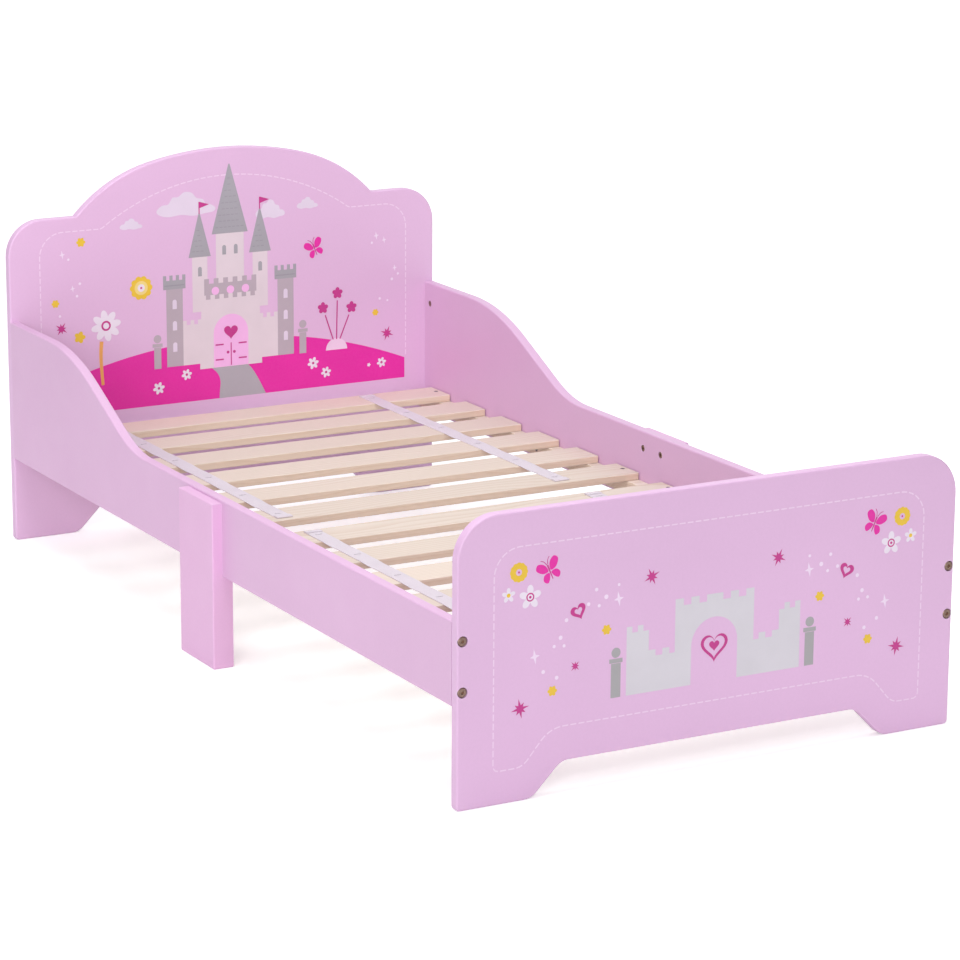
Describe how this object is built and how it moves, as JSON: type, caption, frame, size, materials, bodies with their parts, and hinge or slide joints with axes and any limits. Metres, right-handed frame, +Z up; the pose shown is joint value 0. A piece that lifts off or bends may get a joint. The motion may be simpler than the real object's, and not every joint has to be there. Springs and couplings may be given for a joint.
{
  "type": "toddler bed",
  "caption": "Low painted toddler bed with a crowned headboard, a lower footboard, swept side rails, middle legs and a slatted base tied with webbing.",
  "frame": {"origin": "centre of the footprint, on the floor", "axes": "+Y along the bed towards the headboard, +Z up, +X towards the right-hand rail as seen by someone who faces the headboard"},
  "size_m": [0.76, 1.43, 0.5859],
  "materials": {
    "panel_paint": "satin pale pink lilac paint on fibreboard",
    "rail_paint": "satin pale pink lilac paint on fibreboard",
    "slat_pine": "sanded unvarnished pine",
    "webbing": "woven white polyester webbing",
    "zinc_steel": "zinc plated steel",
    "bronzed_bolt": "antique bronzed steel",
    "screw_steel": "dark phosphated steel",
    "dowel_beech": "plain beech"
  },
  "bodies": {
    "root": {"headboard": "panel_paint", "footboard": "panel_paint", "side_rail_left": "rail_paint", "side_rail_right": "rail_paint", "mid_leg_left": "rail_paint", "mid_leg_right": "rail_paint", "slat_ledge_left": "slat_pine", "slat_ledge_right": "slat_pine", "slat_01": "slat_pine", "slat_02": "slat_pine", "slat_03": "slat_pine", "slat_04": "slat_pine", "slat_05": "slat_pine", "slat_06": "slat_pine", "slat_07": "slat_pine", "slat_08": "slat_pine", "slat_09": "slat_pine", "slat_10": "slat_pine", "slat_11": "slat_pine", "slat_12": "slat_pine", "strap_head_left": "webbing", "strap_head_right": "webbing", "strap_foot_left": "webbing", "strap_foot_right": "webbing", "strap_staples": "zinc_steel", "headboard_bolts": "bronzed_bolt", "footboard_bolts": "bronzed_bolt", "mid_leg_bolts": "bronzed_bolt", "headboard_barrel_nuts": "zinc_steel", "footboard_barrel_nuts": "zinc_steel", "mid_leg_inserts": "zinc_steel", "locating_dowels": "dowel_beech", "slat_screws": "screw_steel", "ledge_screws": "screw_steel"}
  },
  "joints": []
}
